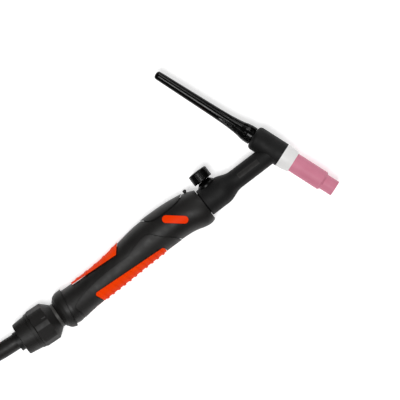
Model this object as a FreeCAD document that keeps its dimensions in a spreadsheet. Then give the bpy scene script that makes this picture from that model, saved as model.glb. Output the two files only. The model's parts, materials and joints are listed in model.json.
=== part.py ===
import FreeCAD, Part
import math
import os
import Sketcher
from FreeCAD import Placement, Rotation, Vector

# An air-cooled TIG torch with a gas valve on its neck, lying on its side, in millimetres.
# +X runs along the cable support towards the head, +Y towards the valve knob and the back
# cap, and +Z up, out of the plane in which the torch is symmetrical.
# Lengths along X are counted from a point 8 mm behind the middle of the swivel's ball.
# "Neck" and "head" lengths are counted from the point where their two axes cross.

SIZES = {
    # where the torch lies
    "shift_x": -107.52,
    "shift_y": -40.56,
    "lie_height": 17.9,
    "running": 0.05,
    # cable support
    "cable_r": 7.25,
    "cable_side": 1.0,
    "grommet_rear": -49.3,
    "grommet_r": 9.1,
    "nut_rear": -45.3,
    "nut_front": -32.8,
    "nut_rear_r": 15.0,
    "nut_front_r": 16.3,
    "nut_bore_r": 9.2,
    "nut_thread_r": 11.9,
    "nut_thread_end": -19.0,
    "cable_inner_end": -38.0,
    "ferrule_r": 7.9,
    "ferrule_front": -24.0,
    "core_hose_r": 4.5,
    "core_hose_end": 6.6,
    "ring_rear": -32.6,
    "ring_front": -29.6,
    "ring_r": 16.9,
    "knuckle_rear": -29.4,
    "knuckle_front": -15.2,
    "knuckle_r": 17.9,
    "knuckle_nose": -8.2,
    "knuckle_nose_r": 11.8,
    "knuckle_bore_r": 12.0,
    "knuckle_bore_end": -16.0,
    "knuckle_flats": 34.6,
    "sleeve_tail_r": 8.9,
    "sleeve_flange_r": 11.4,
    "sleeve_flange_front": -5.7,
    "sleeve_r": 7.9,
    "sleeve_bore_r": 5.4,
    "sleeve_front": 4.6,
    "washer_rear": -1.4,
    # swivel cup and ball
    "cup_rear": -5.3,
    "cup_wall_front": -3.3,
    "cup_rear_r": 11.9,
    "cup_r": 17.85,
    "cup_front": 7.4,
    "cup_inner_r": 16.4,
    "ball_centre": 8.0,
    "ball_r": 16.1,
    "ball_inner_r": 13.7,
    "ball_rear": 0.2,
    "washer_r": 13.4,
    # handle
    "wall": 3.0,
    "skin_depth": 1.8,
    "seam": 0.45,
    "panel_raise": 0.35,
    "lower_grip_raise": 0.5,
    "upper_grip_raise": 0.9,
    "rib_raise": 1.3,
    "cover_raise": 0.7,
    "badge_raise": 0.45,
    "cavity_front": 149.5,
    "boss_r": 3.0,
    "boss_hole_r": 1.3,
    "screw_head_r": 2.7,
    "screw_head_z": -9.5,
    "screw_end_z": 7.0,
    "half_gap": 0.06,
    "catch_x": 146.7,
    "catch_r": 1.1,
    # neck and head
    "junction_x": 232.6,
    "junction_y": 13.9,
    "neck_angle": 3.4,
    "head_bend": 70.0,
    "stub_rear": -86.0,
    "stub_r": 10.2,
    "valve_body_rear": -77.2,
    "valve_body_front": -56.2,
    "valve_body_r": 13.0,
    "neck_start": -46.0,
    "neck_r": 8.93,
    "pad_rear": -40.0,
    "pad_front": -17.0,
    "head_rear": -21.9,
    "head_front": 8.2,
    "head_r": 11.1,
    "head_round": 3.6,
    "core_r": 7.6,
    "core_rear": -20.9,
    "core_front": 7.6,
    "neck_tube_r": 4.0,
    "neck_tube_bore_r": 2.6,
    # gas valve
    "valve_along": 65.9,
    "block_rear": -84.5,
    "block_front": -54.0,
    "block_r": 8.0,
    "gland_low": 4.0,
    "gland_thread_r": 5.0,
    "gland_seat": 10.6,
    "gland_r": 8.9,
    "gland_top": 16.2,
    "gland_top_r": 5.3,
    "stem_r": 2.0,
    "stem_tip": 1.0,
    "stem_top": 25.2,
    "seal_low": 7.4,
    "seal_high": 9.1,
    "seal_r": 3.3,
    "seal_groove_end": 10.5,
    "knob_low": 16.6,
    "knob_top": 26.8,
    "knob_r": 9.0,
    "flute_count": 14,
    "flute_width": 1.5,
    "flute_depth": 1.0,
    # hose inside the handle
    "inner_hose_rear": -222.5,
    "inner_hose_front": -101.0,
    "inner_hose_r": 4.6,
    "inner_hose_bore_r": 2.6,
    "barb_rear": -113.0,
    "inner_ferrule_rear": -112.0,
    "inner_ferrule_r": 5.9,
    "connector_hex": 13.0,
    "connector_hex_rear": -100.0,
    "connector_hex_front": -94.0,
    # gas cup side
    "gasket_front": 19.9,
    "gasket_r": 11.05,
    "gasket_front_r": 9.9,
    "gasket_bore_r": 6.2,
    "nozzle_seat": 16.1,
    "nozzle_rear": 16.4,
    "nozzle_r": 8.8,
    "nozzle_step": 50.2,
    "nozzle_tip_start": 52.0,
    "nozzle_tip_r": 7.15,
    "nozzle_end": 63.4,
    "nozzle_thread_r": 5.75,
    "nozzle_thread_end": 26.5,
    "nozzle_chamber_r": 6.9,
    "nozzle_throat": 47.0,
    "nozzle_mouth_r": 5.6,
    "collet_body_rear": -5.0,
    "collet_body_thread_r": 4.6,
    "collet_body_front": 38.0,
    "collet_body_bore_r": 2.5,
    "collet_body_nose_r": 5.1,
    "collet_body_mouth_r": 1.5,
    "collet_rear": -11.0,
    "collet_front": 35.0,
    "collet_r": 2.4,
    "collet_bore_r": 1.25,
    "electrode_r": 1.2,
    "electrode_rear": -114.6,
    "electrode_front": 60.4,
    "electrode_point": 3.0,
    "electrode_point_r": 0.2,
    # back cap
    "cap_face": -22.2,
    "cap_collar_end": -28.1,
    "cap_collar_r": 8.2,
    "cap_shoulder_end": -34.7,
    "cap_shoulder_r": 6.8,
    "cap_flare": -47.0,
    "cap_flare_r": 5.45,
    "cap_tube": -62.0,
    "cap_tube_r": 4.9,
    "cap_end_r": 3.85,
    "cap_end": -124.0,
    "cap_round": 3.2,
    "cap_thread_r": 5.9,
    "cap_thread_end": -12.0,
    "cap_bore_r": 1.9,
    "cap_bore_end": -119.6,
    "cap_slot_count": 10,
    "cap_slot_width": 2.4,
    "cap_slot_depth": 1.3,
    "cap_seal_r": 7.3,
    # cable and plug
    "coil_x": -127.8,
    "coil_y": 102.2,
    "coil_outer_r": 102.2,
    "coil_inner_r": 57.2,
    "coil_height": 43.6,
    "tie_half_width": 9.0,
    "tie_wall": 1.6,
    "plug_x": -189.1,
    "plug_y": 122.1,
    "plug_angle": 84.6,
    "plug_height": 58.2,
    "plug_r": 14.5,
    "plug_rear_r": 9.6,
    "plug_pin_r": 6.5,
    "plug_seat_r": 10.2,
    "nipple_along": 34.0,
    "nipple_r": 3.9,
}

# Handle sections: place along X, top and bottom heights, half width.
STATIONS = [
    (8.0, 16.1, -16.1, 16.1),
    (17.6, 16.2, -14.3, 15.0),
    (30.0, 16.8, -12.6, 14.1),
    (44.0, 17.9, -11.4, 13.8),
    (60.0, 20.3, -10.3, 14.2),
    (76.0, 23.9, -8.9, 15.2),
    (92.0, 26.9, -7.6, 16.3),
    (108.0, 28.2, -6.6, 17.0),
    (124.0, 28.5, -6.0, 17.2),
    (138.0, 27.6, -6.9, 17.0),
    (148.0, 26.0, -8.9, 16.4),
    (153.5, 24.2, -8.3, 15.4),
    (159.0, 21.4, -2.6, 11.9),
]
for number, station in enumerate(STATIONS):
    for what, size in zip(("station", "top", "bottom", "width"), station):
        SIZES[f"{what}_{number}"] = size

doc = FreeCAD.newDocument("tig_torch")
sheet = doc.addObject("Spreadsheet::Sheet", "Sizes")
for row, (name, size) in enumerate(SIZES.items(), start=1):
    sheet.set(f"A{row}", name)
    sheet.set(f"B{row}", str(size))
    sheet.setAlias(f"B{row}", name)
doc.recompute()

parts = {}


def value(terms):
    """The number that a sum of sheet names and plain numbers comes to."""
    total, sign = 0.0, 1
    for word in str(terms).split():
        if word in "+-":
            sign = 1 if word == "+" else -1
        else:
            total += sign * (SIZES[word] if word in SIZES else float(word))
    return total


def linked(terms):
    """The same sum as an expression that follows the sheet."""
    return " ".join(f"Sizes.{w}" if w in SIZES else w for w in str(terms).split())


NECK_TURN = "Sizes.neck_angle * 1 deg"
FRAMES = {
    "line": ("Sizes.shift_x", "Sizes.shift_y", "0", "Sizes.lie_height"),
    "neck": (
        "Sizes.shift_x + Sizes.junction_x",
        "Sizes.shift_y + Sizes.junction_y",
        "Sizes.neck_angle",
        "Sizes.lie_height",
    ),
    "head": (
        "Sizes.shift_x + Sizes.junction_x",
        "Sizes.shift_y + Sizes.junction_y",
        "Sizes.neck_angle - Sizes.head_bend",
        "Sizes.lie_height",
    ),
    "valve": (
        f"Sizes.shift_x + Sizes.junction_x - Sizes.valve_along * cos({NECK_TURN})",
        f"Sizes.shift_y + Sizes.junction_y - Sizes.valve_along * sin({NECK_TURN})",
        "Sizes.neck_angle + 90",
        "Sizes.lie_height",
    ),
    "catch": ("Sizes.shift_x + Sizes.catch_x", "Sizes.shift_y", "90", "Sizes.lie_height"),
    "plug": (
        "Sizes.shift_x + Sizes.plug_x",
        "Sizes.shift_y + Sizes.plug_y",
        "Sizes.plug_angle",
        "Sizes.plug_height",
    ),
    "nipple": (
        "Sizes.shift_x + Sizes.plug_x + Sizes.nipple_along * cos(Sizes.plug_angle * 1 deg)",
        "Sizes.shift_y + Sizes.plug_y + Sizes.nipple_along * sin(Sizes.plug_angle * 1 deg)",
        "Sizes.plug_angle + 90",
        "Sizes.plug_height",
    ),
}


def place(item, frame):
    """Put an item into one of the torch's frames, with its placement tied to the sheet."""
    across, up, turn, height = FRAMES[frame]
    item.Placement = Placement(Vector(), Rotation(Vector(0, 0, 1), 1))
    item.setExpression("Placement.Base.x", across)
    item.setExpression("Placement.Base.y", up)
    item.setExpression("Placement.Base.z", height)
    item.setExpression("Placement.Rotation.Angle", turn)
    return item


def keep(item, label):
    """Name a finished sub-part: its label names its file."""
    item.Label = label
    parts[label] = item
    return item


def origin_feature(body, role):
    return next(f for f in body.Origin.OriginFeatures if f.Role == role)


def closed_outline(sketch, points):
    """A closed outline of straight sides, each corner tied to the sheet."""
    corners = [Vector(value(a), value(b), 0) for a, b in points]
    count = len(corners)
    for i in range(count):
        sketch.addGeometry(Part.LineSegment(corners[i], corners[(i + 1) % count]), False)
    for i in range(count):
        sketch.addConstraint(Sketcher.Constraint("Coincident", i, 2, (i + 1) % count, 1))
    for i, corner in enumerate(points):
        for kind, terms in zip(("DistanceX", "DistanceY"), corner):
            made = sketch.addConstraint(Sketcher.Constraint(kind, -1, 1, i, 1, value(terms)))
            sketch.setExpression(f"Constraints[{made}]", linked(terms))


def turned(name, frame, points, rounds=()):
    """A body of revolution about its frame's X axis; rounds are (x, r, radius) of edges."""
    body = doc.addObject("PartDesign::Body", name)
    place(body, frame)
    sketch = body.newObject("Sketcher::SketchObject", name + "_profile")
    sketch.AttachmentSupport = [(origin_feature(body, "XY_Plane"), "")]
    sketch.MapMode = "FlatFace"
    closed_outline(sketch, points)
    solid = body.newObject("PartDesign::Revolution", name + "_turned")
    solid.Profile = sketch
    solid.ReferenceAxis = (sketch, ["H_Axis"])
    solid.Angle = 360
    doc.recompute()
    for at, radius, size in rounds:
        named = [
            f"Edge{i}"
            for i, edge in enumerate(solid.Shape.Edges, start=1)
            if isinstance(edge.Curve, Part.Circle)
            and abs(edge.Curve.Radius - value(radius)) < 0.01
            and abs(edge.Curve.Center.x - value(at)) < 0.01
        ]
        fillet = body.newObject("PartDesign::Fillet", name + "_round")
        fillet.Base = (solid, named)
        fillet.setExpression("Radius", linked(size))
        doc.recompute()
        solid = fillet
    return body


def cut_slots(body, start, length, depth_from, width, count):
    """Cut even slots along X round a turned body, outwards from the radius depth_from."""
    sketch = body.newObject("Sketcher::SketchObject", body.Name + "_slot")
    sketch.AttachmentSupport = [(origin_feature(body, "YZ_Plane"), "")]
    sketch.MapMode = "FlatFace"
    sketch.setExpression("AttachmentOffset.Base.z", linked(start))
    half = value(width) / 2
    low = value(depth_from)
    corners = [Vector(low, -half, 0), Vector(low + 6, -half, 0)]
    corners += [Vector(low + 6, half, 0), Vector(low, half, 0)]
    for i in range(4):
        sketch.addGeometry(Part.LineSegment(corners[i], corners[(i + 1) % 4]), False)
    for i in range(4):
        sketch.addConstraint(Sketcher.Constraint("Coincident", i, 2, (i + 1) % 4, 1))
    sketch.addConstraint(Sketcher.Constraint("Horizontal", 0))
    sketch.addConstraint(Sketcher.Constraint("Horizontal", 2))
    sketch.addConstraint(Sketcher.Constraint("Vertical", 1))
    sketch.addConstraint(Sketcher.Constraint("Symmetric", 3, 1, 3, 2, -1))
    wide = sketch.addConstraint(Sketcher.Constraint("Distance", 3, value(width)))
    sketch.setExpression(f"Constraints[{wide}]", linked(width))
    near = sketch.addConstraint(Sketcher.Constraint("DistanceX", -1, 1, 0, 1, low))
    sketch.setExpression(f"Constraints[{near}]", linked(depth_from))
    sketch.addConstraint(Sketcher.Constraint("DistanceX", 0, 1, 0, 2, 6))
    before = body.Shape.Volume
    pocket = body.newObject("PartDesign::Pocket", body.Name + "_slot_cut")
    pocket.Profile = sketch
    pocket.Type = 0
    pocket.Reversed = True
    pocket.setExpression("Length", linked(length))
    doc.recompute()
    assert body.Shape.Volume < before - 0.1, body.Name
    pattern = body.newObject("PartDesign::PolarPattern", body.Name + "_slots")
    pattern.Originals = [pocket]
    pattern.Axis = (origin_feature(body, "X_Axis"), [""])
    pattern.Angle = 360
    pattern.setExpression("Occurrences", linked(count))
    body.Tip = pattern
    doc.recompute()


def primitive(kind, name, frame, **sizes):
    """A Part primitive in a frame, with the sizes given as sums of sheet names."""
    item = doc.addObject("Part::" + kind, name)
    place(item, frame)
    for key, terms in sizes.items():
        item.setExpression(key, linked(terms))
    return item


def rod(name, frame, start, end, radius):
    """A plain round rod along its frame's X axis."""
    points = [(start, "0"), (end, "0"), (end, radius), (start, radius)]
    return turned(name, frame, points)


def block(name, frame, low, high):
    """A box between two corners of a frame: X, Y and Z each as sums of sheet names."""
    points = [(low[0], low[1]), (high[0], low[1]), (high[0], high[1]), (low[0], high[1])]
    sketch = doc.addObject("Sketcher::SketchObject", name + "_outline")
    place(sketch, frame)
    closed_outline(sketch, points)
    return prism(name, sketch, low[2], high[2])


def prism(name, sketch, low, high):
    """A sketch drawn out along Z from low to high."""
    item = doc.addObject("Part::Extrusion", name)
    item.Base = sketch
    item.DirMode = "Custom"
    item.Dir = Vector(0, 0, 1)
    item.Solid = True
    item.setExpression("LengthFwd", linked(high))
    item.setExpression("LengthRev", " ".join(("0 -", linked(low))))
    return item


def cut(name, base, *tools):
    for number, tool in enumerate(tools):
        made = doc.addObject("Part::Cut", f"{name}_{number}")
        made.Base = base
        made.Tool = tool
        base = made
    return base


def fuse(name, *shapes):
    made = doc.addObject("Part::MultiFuse", name)
    made.Shapes = list(shapes)
    made.Refine = True
    return made


def common(name, *shapes):
    made = doc.addObject("Part::MultiCommon", name)
    made.Shapes = list(shapes)
    return made


def pillar(name, across, up, low, high, radius):
    """A cylinder along Z in the torch's own frame."""
    item = doc.addObject("Part::Cylinder", name)
    item.setExpression("Placement.Base.x", linked(f"shift_x + {across}"))
    item.setExpression("Placement.Base.y", linked(f"shift_y + {up}"))
    item.setExpression("Placement.Base.z", linked(f"lie_height + {low}"))
    item.setExpression("Radius", linked(radius))
    item.setExpression("Height", f"{linked(high)} - ({linked(low)})")
    return item


def drawn(name, frame, points, rounds=0.0):
    """A flat outline of straight sides in a frame, with its corners rounded by an offset."""
    sketch = doc.addObject("Sketcher::SketchObject", name)
    place(sketch, frame)
    closed_outline(sketch, points)
    if not rounds:
        return sketch
    inner = doc.addObject("Part::Offset2D", name + "_inner")
    inner.Source = sketch
    inner.Value = -rounds
    outer = doc.addObject("Part::Offset2D", name + "_outer")
    outer.Source = inner
    outer.Value = rounds
    return outer


def smooth_outline(name, spans):
    """A closed outline in the torch's frame: each span is one smooth curve or a line."""
    sketch = doc.addObject("Sketcher::SketchObject", name)
    place(sketch, "line")
    for span in spans:
        corners = [Vector(x, y, 0) for x, y in span]
        if len(corners) == 2:
            sketch.addGeometry(Part.LineSegment(*corners), False)
        else:
            curve = Part.BSplineCurve()
            curve.interpolate(corners)
            sketch.addGeometry(curve, False)
    return sketch


def smaller(name, outline):
    """The same outline pulled in by the seam, so that an insert clears its pocket."""
    made = doc.addObject("Part::Offset2D", name)
    made.Source = outline
    made.setExpression("Value", "0 - Sizes.seam")
    return made


# --- Cable support -----------------------------------------------------------------------


def make_cable_support():
    grommet = turned("grommet_ring", "line", [
        ("grommet_rear", "0"), ("nut_front", "0"),
        ("nut_front", "nut_bore_r"), ("nut_rear", "nut_bore_r"),
        ("nut_rear", "grommet_r"), ("grommet_rear", "grommet_r"),
    ])
    hole = block_hole("grommet_hole", "cable_r + running", "grommet_rear - 1", "nut_front + 1")
    keep(cut("grommet", grommet, hole), "cable_grommet")

    nut = turned("clamp_nut", "line", [
        ("nut_rear", "nut_bore_r"), ("nut_thread_end", "nut_bore_r"),
        ("nut_thread_end", "nut_thread_r"), ("nut_front", "nut_thread_r"),
        ("nut_front", "nut_front_r"), ("nut_rear", "nut_rear_r"),
    ], [("nut_rear", "nut_rear_r", "0.9")])
    keep(nut, "clamp_nut")

    keep(turned("knuckle_ring", "line", [
        ("ring_rear", "nut_thread_r + running"), ("ring_front", "nut_thread_r + running"),
        ("ring_front", "ring_r + 0.4"), ("ring_rear", "ring_r"),
    ]), "knuckle_ring")

    knuckle = turned("knuckle_form", "line", [
        ("knuckle_rear", "knuckle_bore_r"), ("knuckle_bore_end", "knuckle_bore_r"),
        ("knuckle_bore_end", "sleeve_tail_r"), ("knuckle_nose", "sleeve_tail_r"),
        ("knuckle_nose", "knuckle_nose_r"), ("knuckle_front", "knuckle_r"),
        ("knuckle_rear + 1", "knuckle_r"), ("knuckle_rear", "knuckle_r - 0.7"),
    ])
    flats = doc.addObject("Part::Prism", "knuckle_octagon")
    flats.Polygon = 8
    flats.setExpression("Circumradius", "Sizes.knuckle_flats / 2 / cos(22.5 deg)")
    flats.Height = 60
    flats.Placement = Placement(Vector(), Rotation(Vector(0, 1, 0), 90))
    flats.setExpression("Placement.Base.x", "Sizes.shift_x + Sizes.knuckle_rear - 20")
    flats.setExpression("Placement.Base.y", "Sizes.shift_y")
    flats.setExpression("Placement.Base.z", "Sizes.lie_height")
    flats.AttachmentOffset = Placement()
    flatted = common("knuckle_flatted", knuckle, flats)
    notch = block("knuckle_notch", "line", ("-19.8", "4.4", "16.2"), ("-15.9", "5.6", "20"))
    keep(cut("knuckle", flatted, notch), "knuckle_body")

    keep(turned("swivel_sleeve", "line", [
        ("knuckle_bore_end", "sleeve_bore_r"), ("sleeve_front", "sleeve_bore_r"),
        ("sleeve_front", "sleeve_r"), ("sleeve_flange_front", "sleeve_r"),
        ("sleeve_flange_front", "sleeve_flange_r"), ("knuckle_nose", "sleeve_flange_r"),
        ("knuckle_nose", "sleeve_tail_r"), ("knuckle_bore_end", "sleeve_tail_r"),
    ]), "swivel_sleeve")

    # A washer with a spherical rim traps the ball between itself and the cup.
    rim = sphere("washer_ball", "washer_r")
    band = turned("washer_band", "line", [
        ("washer_rear", "sleeve_r"), ("sleeve_front", "sleeve_r"),
        ("sleeve_front", "ball_r"), ("washer_rear", "ball_r"),
    ])
    keep(common("washer", rim, band), "swivel_washer")

    ferrule = turned("ferrule_form", "line", [
        ("nut_front + 0.3", "core_hose_r"), ("ferrule_front", "core_hose_r"),
        ("ferrule_front", "ferrule_r - 1"), ("ferrule_front - 1", "ferrule_r"),
        ("nut_front + 0.3", "ferrule_r"),
    ])
    keep(ferrule, "cable_ferrule")
    keep(turned("core_hose", "line", [
        ("cable_inner_end + 0.8", "inner_hose_bore_r"), ("core_hose_end", "inner_hose_bore_r"),
        ("core_hose_end", "core_hose_r"), ("cable_inner_end + 0.8", "core_hose_r"),
    ]), "core_hose")


def block_hole(name, radius, start, end):
    """A rod beside the axis, where the cable lies in its clamp."""
    item = rod(name, "line", start, end, radius)
    item.setExpression("Placement.Base.y", "Sizes.shift_y + Sizes.cable_side")
    return item


def sphere(name, radius):
    """A sphere about the middle of the swivel's ball."""
    item = doc.addObject("Part::Sphere", name)
    item.setExpression("Placement.Base.x", "Sizes.shift_x + Sizes.ball_centre")
    item.setExpression("Placement.Base.y", "Sizes.shift_y")
    item.setExpression("Placement.Base.z", "Sizes.lie_height")
    item.setExpression("Radius", linked(radius))
    return item


def make_swivel_cup():
    form = turned("cup_form", "line", [
        ("cup_rear", "sleeve_r + running"), ("cup_front + 4", "sleeve_r + running"),
        ("cup_front + 4", "cup_r"), ("2", "cup_r - 0.3"), ("-2", "16"),
        ("cup_rear", "cup_rear_r"),
    ], [("cup_rear", "cup_rear_r", "1.5"), ("-2", "16", "5"), ("2", "cup_r - 0.3", "6")])
    # The rim is cut at a slant, further forward at the top.
    slant = drawn("cup_front_outline", "line", [
        ("cup_front + 2.6", "40"), ("cup_front - 7", "-40"), ("60", "-40"), ("60", "40"),
    ])
    hollow = common(
        "cup_hollow",
        sphere("cup_ball_space", "cup_inner_r"),
        block("cup_hollow_reach", "line", ("cup_wall_front", "-30", "-30"), ("60", "30", "30")),
    )
    keep(cut("cup", form, hollow, prism("cup_front_cut", slant, "-40", "40")), "swivel_cup")


# --- Handle ------------------------------------------------------------------------------


SEAM_UP = Rotation(Vector(0, 1, 0), Vector(0, 0, 1), Vector(1, 0, 0))
SEAM_DOWN = Rotation(Vector(0, -1, 0), Vector(0, 0, -1), Vector(1, 0, 0))


def handle_loft(name, grow, turn=SEAM_UP):
    """The handle's smooth outer form, grown or shrunk all round, through its oval sections."""
    sections = []
    for number in range(len(STATIONS)):
        oval = doc.addObject("Part::Ellipse", f"{name}_{number}")
        oval.Placement = Placement(Vector(), turn)
        height = f"(Sizes.top_{number} - Sizes.bottom_{number}) / 2"
        middle = f"(Sizes.top_{number} + Sizes.bottom_{number}) / 2"
        oval.setExpression("Placement.Base.x", f"Sizes.shift_x + Sizes.station_{number}")
        oval.setExpression("Placement.Base.y", f"Sizes.shift_y + {middle}")
        oval.setExpression("Placement.Base.z", "Sizes.lie_height")
        oval.setExpression("MajorRadius", f"{height} + {linked(grow)}")
        oval.setExpression("MinorRadius", f"Sizes.width_{number} + {linked(grow)}")
        sections.append(oval)
    loft = doc.addObject("Part::Loft", name)
    loft.Sections = sections
    loft.Solid = True
    return loft


SCREWS = [("30", "9.6"), ("84", "16.5"), ("138.5", "19.6")]

PANEL = [
    [(12.6, -30.0), (12.3, -12.0)],
    [(12.3, -12.0), (11.0, -7.0), (10.5, -3.6), (12.2, -1.0)],
    [(12.2, -1.0), (26.4, 3.7), (44.0, 6.9), (61.0, 8.1), (74.0, 8.2)],
    [(74.0, 8.2), (79.6, 10.7), (88.0, 13.8), (96.4, 15.4)],
    [(96.4, 15.4), (99.4, 14.4), (102.0, 12.4)],
    [(102.0, 12.4), (110.5, 4.1)],
    [(110.5, 4.1), (117.2, -0.8), (121.0, -5.2), (122.6, -10.0)],
    [(122.6, -10.0), (123.0, -30.0)],
    [(123.0, -30.0), (12.6, -30.0)],
]
UPPER_GRIP = [("18.5", "14.8"), ("66", "14.8"), ("77.5", "30"), ("18.5", "30")]
LOWER_GRIP = [
    ("32.9", "-2.2"), ("103.2", "-2.2"), ("104.8", "-3.8"), ("106.4", "-30"),
    ("38", "-30"), ("34.4", "-12"), ("31", "-4.4"),
]
COVER = [
    [(97.0, 40.0), (99.0, 28.2)],
    [(99.0, 28.2), (103.6, 25.1), (108.0, 22.6), (114.4, 21.7), (121.4, 21.9)],
    [(121.4, 21.9), (128.0, 22.4), (134.0, 23.3), (139.8, 25.0), (143.6, 27.2)],
    [(143.6, 27.2), (145.0, 40.0)],
    [(145.0, 40.0), (97.0, 40.0)],
]
BADGE_LENGTH, BADGE_WIDTH, BADGE_TURN = 23.5, 7.2, -36.0
BADGE_PLACE = Vector(126.3, 11.9, 0)


def badge_outline(name, shrink):
    """A pill with round ends."""
    half = BADGE_LENGTH / 2 - BADGE_WIDTH / 2
    radius = BADGE_WIDTH / 2 - shrink
    along = Rotation(Vector(0, 0, 1), BADGE_TURN)

    def at(x, y):
        return BADGE_PLACE + along.multVec(Vector(x, y, 0))

    sketch = doc.addObject("Sketcher::SketchObject", name)
    place(sketch, "line")
    sketch.addGeometry(Part.LineSegment(at(-half, radius), at(half, radius)), False)
    ends = at(half, radius), at(half + radius, 0), at(half, -radius)
    sketch.addGeometry(Part.Arc(*ends), False)
    sketch.addGeometry(Part.LineSegment(at(half, -radius), at(-half, -radius)), False)
    ends = at(-half, -radius), at(-half - radius, 0), at(-half, radius)
    sketch.addGeometry(Part.Arc(*ends), False)
    return sketch


def strips(name, first, pitch, count, width, low, high, lean):
    """Parallel strips across a grip, each leaning back as it goes up."""
    sketch = doc.addObject("Sketcher::SketchObject", name)
    place(sketch, "line")
    for number in range(count):
        middle = first + pitch * number
        corners = [
            Vector(middle - width / 2 + lean * low, low, 0),
            Vector(middle + width / 2 + lean * low, low, 0),
            Vector(middle + width / 2 + lean * high, high, 0),
            Vector(middle - width / 2 + lean * high, high, 0),
        ]
        for i in range(4):
            sketch.addGeometry(Part.LineSegment(corners[i], corners[(i + 1) % 4]), False)
    return sketch


def make_handle():
    ball = common(
        "ball",
        sphere("ball_form", "ball_r"),
        block("ball_reach", "line", ("ball_rear", "-30", "-30"), ("ball_centre", "30", "30")),
    )
    solid = fuse("handle_solid", ball, handle_loft("handle_outer", "0"))
    space = common(
        "handle_space",
        handle_loft("handle_inner", "0 - wall"),
        block("space_reach", "line", ("-10", "-50", "-40"), ("cavity_front", "60", "40")),
    )
    hollow = cut("handle_hollow", solid, space, sphere("ball_space", "ball_inner_r"))
    bosses = common(
        "bosses",
        fuse("boss_rods", *[
            pillar(f"boss_{i}", x, y, "-20", "20", "boss_r") for i, (x, y) in enumerate(SCREWS)
        ]),
        handle_loft("boss_limit", "-1.4"),
    )
    front = block("handle_front", "neck", ("valve_body_rear - 0.4", "-50", "-40"), ("0", "50", "40"))
    stub = rod("stub_space", "neck", "stub_rear - 8", "valve_body_rear + 2", "stub_r + running")
    body = fuse("handle_bossed", hollow, bosses)

    panel, cover = smooth_outline("panel_outline", PANEL), smooth_outline("cover_outline", COVER)
    upper = drawn("upper_grip_outline", "line", UPPER_GRIP)
    lower = drawn("lower_grip_outline", "line", LOWER_GRIP)
    badge = badge_outline("badge_outline", 0)
    pockets = []
    for name, outline, low, turn in (
        ("panel", panel, "-40", SEAM_UP),
        ("upper_grip", upper, "-40", SEAM_DOWN),
        ("cover", cover, "-40", SEAM_DOWN),
        ("badge", badge, "5", SEAM_DOWN),
    ):
        band = cut(
            name + "_pocket_band",
            handle_loft(name + "_pocket_out", "2.5", turn),
            handle_loft(name + "_pocket_in", "0 - skin_depth", turn),
        )
        pockets.append(common(name + "_pocket", band, prism(name + "_prism", outline, low, "40")))
    catch_hole = rod("catch_hole", "catch", "20", "30", "catch_r + 0.1")
    far_block = block("far_block", "line", ("-30", "-50", "-40"), ("200", "60", "half_gap"))
    threads = fuse("screw_threads", *[
        pillar(f"thread_{i}", x, y, "-1", "screw_end_z + 0.6", "boss_hole_r")
        for i, (x, y) in enumerate(SCREWS)
    ])
    near_half = cut("near_half", body, far_block, front, stub, *pockets[:3], catch_hole)
    keep(cut("near", near_half, pockets[3], threads), "near_shell")
    far_half = doc.addObject("Part::Mirroring", "far_half")
    far_half.Source = near_half
    far_half.Normal = Vector(0, 0, 1)
    far_half.setExpression("Base.z", "Sizes.lie_height")
    passages = fuse("screw_passages", *[
        pillar(f"passage_{i}", x, y, "-20", "1", "boss_hole_r + 0.2")
        for i, (x, y) in enumerate(SCREWS)
    ])
    seats = fuse("screw_seats", *[
        pillar(f"seat_{i}", x, y, "-20", "screw_head_z", "screw_head_r + 0.3")
        for i, (x, y) in enumerate(SCREWS)
    ])
    keep(cut("far", far_half, passages, seats), "far_shell")
    make_screws()

    def skin(name, outer, turn):
        """The layer between a raised form and the floor of the pockets."""
        return cut(
            name + "_skin",
            handle_loft(name + "_over", outer, turn),
            handle_loft(name + "_under", "0.05 - skin_depth", turn),
        )

    panel_whole = common(
        "panel_full",
        skin("panel", "panel_raise", SEAM_UP),
        prism("panel_small", smaller("panel_in", panel), "-40", "40"),
    )
    keep(cut("panel", panel_whole, prism("lower_grip_prism", lower, "-40", "40")), "lower_panel")

    lower_lines = strips("lower_strips", 33.9, 6.36, 11, 2.2, -20.0, -1.0, -0.4)
    upper_lines = strips("upper_strips", 17.5, 9.45, 6, 2.3, 10.0, 34.0, 0.45)
    for label, outline, lines, turn in (
        ("lower_grip", lower, lower_lines, SEAM_UP),
        ("upper_grip", upper, upper_lines, SEAM_DOWN),
    ):
        small = prism(label + "_small", smaller(label + "_in", outline), "-40", "40")
        pad = common(label + "_pad", skin(label, label + "_raise", turn), small)
        rib_band = cut(
            label + "_rib_band",
            handle_loft(label + "_rib_over", "rib_raise", turn),
            handle_loft(label + "_rib_under", "0.1", turn),
        )
        ribs = common(label + "_ribs", rib_band, small, prism(label + "_strips", lines, "-40", "40"))
        keep(fuse(label + "_whole", pad, ribs), label)

    small_cover = prism("cover_small", smaller("cover_in", cover), "-40", "40")
    keep(common("cover_whole", skin("cover", "cover_raise", SEAM_DOWN), small_cover), "blank_cover")
    small_badge = prism("badge_small", badge_outline("badge_in", 0.2), "5", "40")
    keep(common("badge_whole", skin("badge", "badge_raise", SEAM_DOWN), small_badge), "badge")

    keep(turned("catch_stud", "catch", [
        ("24", "0"), ("28.9", "0"), ("29.3", "0.9"), ("28.6", "1.7"), ("27.2", "1.7"),
        ("26.6", "catch_r"), ("24", "catch_r"),
    ]), "cover_catch")


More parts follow.
